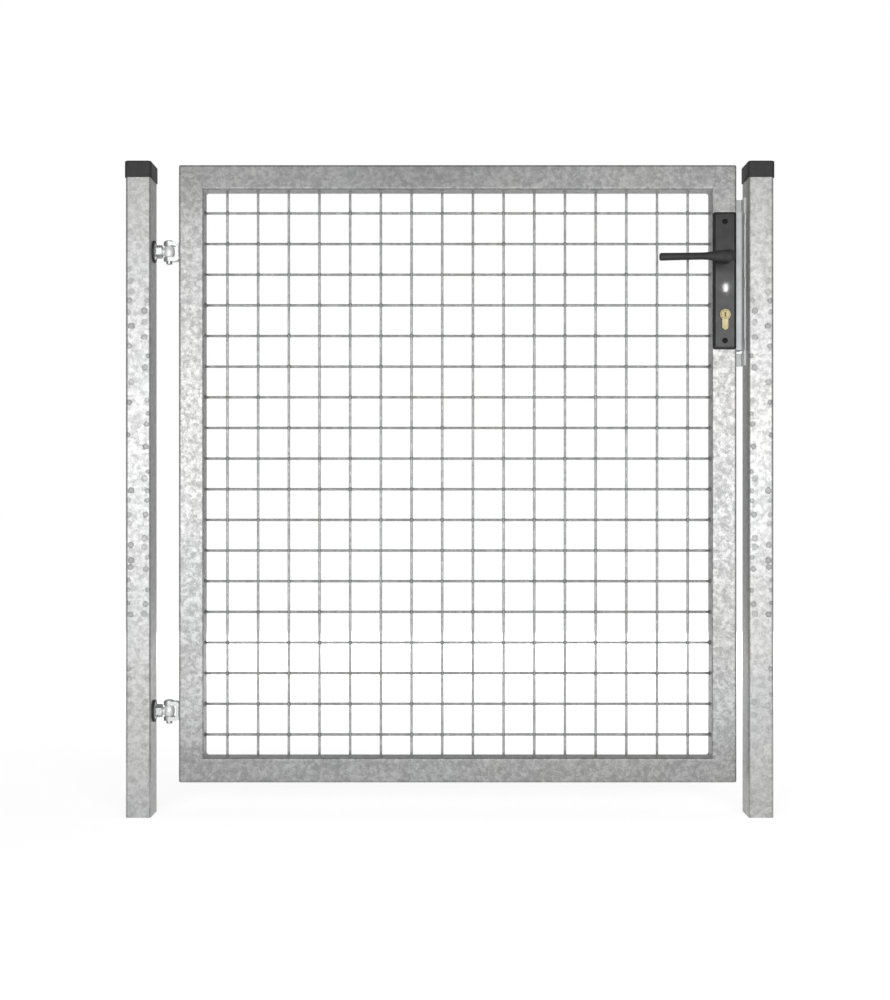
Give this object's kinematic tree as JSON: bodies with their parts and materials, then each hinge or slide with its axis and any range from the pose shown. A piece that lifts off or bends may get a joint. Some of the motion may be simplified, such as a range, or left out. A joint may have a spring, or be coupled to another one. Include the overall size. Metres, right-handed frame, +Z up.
{
  "type": "wire mesh garden gate with posts",
  "caption": "Galvanised single-leaf garden gate: square-tube frame filled with welded wire mesh, hung between two capped posts on eye-bolt hinges, with a lever lock.",
  "frame": {"origin": "centre of the hinge post's foot, at ground level", "axes": "+X along the gate from the hinge post to the latch post, +Y away from the front face, +Z up"},
  "size_m": [1.0482, 0.1065, 1.06],
  "materials": {
    "galvanised_post": "hot-dip galvanised, mottled spangle",
    "galvanised_frame": "hot-dip galvanised, mottled spangle",
    "galvanised_wire": "hot-dip galvanised drawn wire",
    "zinc_plated_steel": "bright zinc plated, turned and pressed",
    "zinc_plated_sheet": "smooth zinc plated sheet",
    "black_plastic": "moulded, matt",
    "black_coated_metal": "black powder coat, satin",
    "brass": "satin nickelled brass"
  },
  "bodies": {
    "posts": {"hinge_post": "galvanised_post", "latch_post": "galvanised_post", "hinge_post_cap": "black_plastic", "latch_post_cap": "black_plastic", "upper_hinge_eye_bolt": "zinc_plated_steel", "lower_hinge_eye_bolt": "zinc_plated_steel", "upper_hinge_washer": "black_plastic", "lower_hinge_washer": "black_plastic", "upper_hinge_nut": "zinc_plated_steel", "lower_hinge_nut": "zinc_plated_steel", "latch_keep": "zinc_plated_sheet"},
    "leaf": {"hinge_stile": "galvanised_frame", "latch_stile": "galvanised_frame", "top_rail": "galvanised_frame", "bottom_rail": "galvanised_frame", "wire_mesh": "galvanised_wire", "upper_hinge_bracket": "zinc_plated_steel", "lower_hinge_bracket": "zinc_plated_steel", "upper_hinge_pin": "zinc_plated_steel", "lower_hinge_pin": "zinc_plated_steel", "lock_case": "zinc_plated_sheet", "latch_bolt": "zinc_plated_steel", "dead_bolt": "zinc_plated_steel", "front_lock_plate": "black_coated_metal", "rear_lock_plate": "black_coated_metal", "profile_cylinder": "brass"},
    "lever": {"front_lever": "black_coated_metal", "lever_spindle": "zinc_plated_steel", "rear_spindle_cap": "black_coated_metal"}
  },
  "joints": [
    {"name": "leaf_swing", "type": "hinge", "parent": "posts", "child": "leaf", "pos_m": [0.0455, 0, 0.543], "axis": [0, 0, -1], "range_deg": [0, 90]},
    {"name": "lever_turn", "type": "hinge", "parent": "leaf", "child": "lever", "pos_m": [0.947, 0, 0.902], "axis": [0, -1, 0], "range_deg": [0, 38], "stiffness_Nm_per_rad": 1.5, "springref_deg": -34.38}
  ]
}
